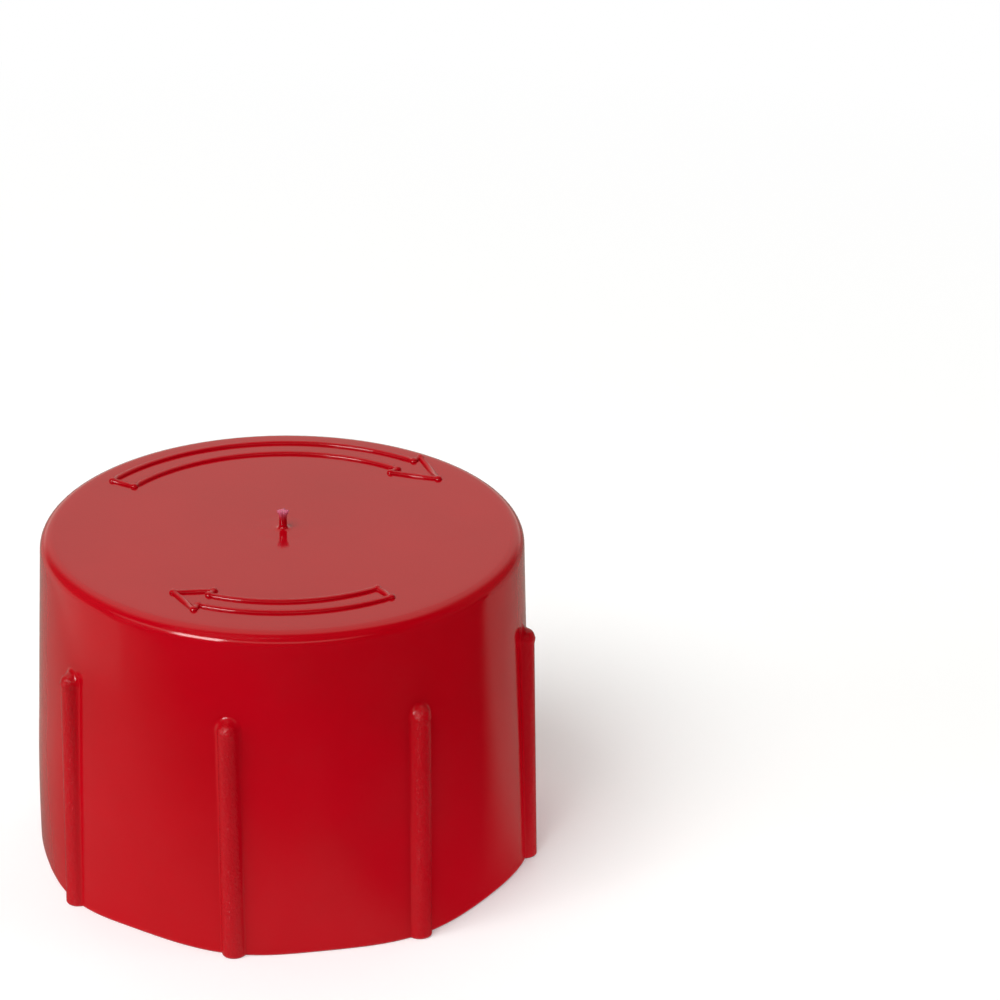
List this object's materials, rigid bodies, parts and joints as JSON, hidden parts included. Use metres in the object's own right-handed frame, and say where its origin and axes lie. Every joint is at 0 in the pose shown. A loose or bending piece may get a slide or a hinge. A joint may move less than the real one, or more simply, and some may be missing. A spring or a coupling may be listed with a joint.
{
  "type": "threaded protection cap",
  "caption": "Round protection cap for a male threaded fitting end, with grip beads around its skirt and a low internal thread.",
  "frame": {"origin": "centre of the rim's plane, on the cap's axis", "axes": "+Z along the axis from the open end to the closed end, +X through the middle of a grip bead"},
  "size_m": [0.0312, 0.0312, 0.0216],
  "materials": {
    "cap": "moulded red polyethylene, glossy with slight unevenness"
  },
  "bodies": {
    "root": {"cap": "cap"}
  },
  "joints": []
}
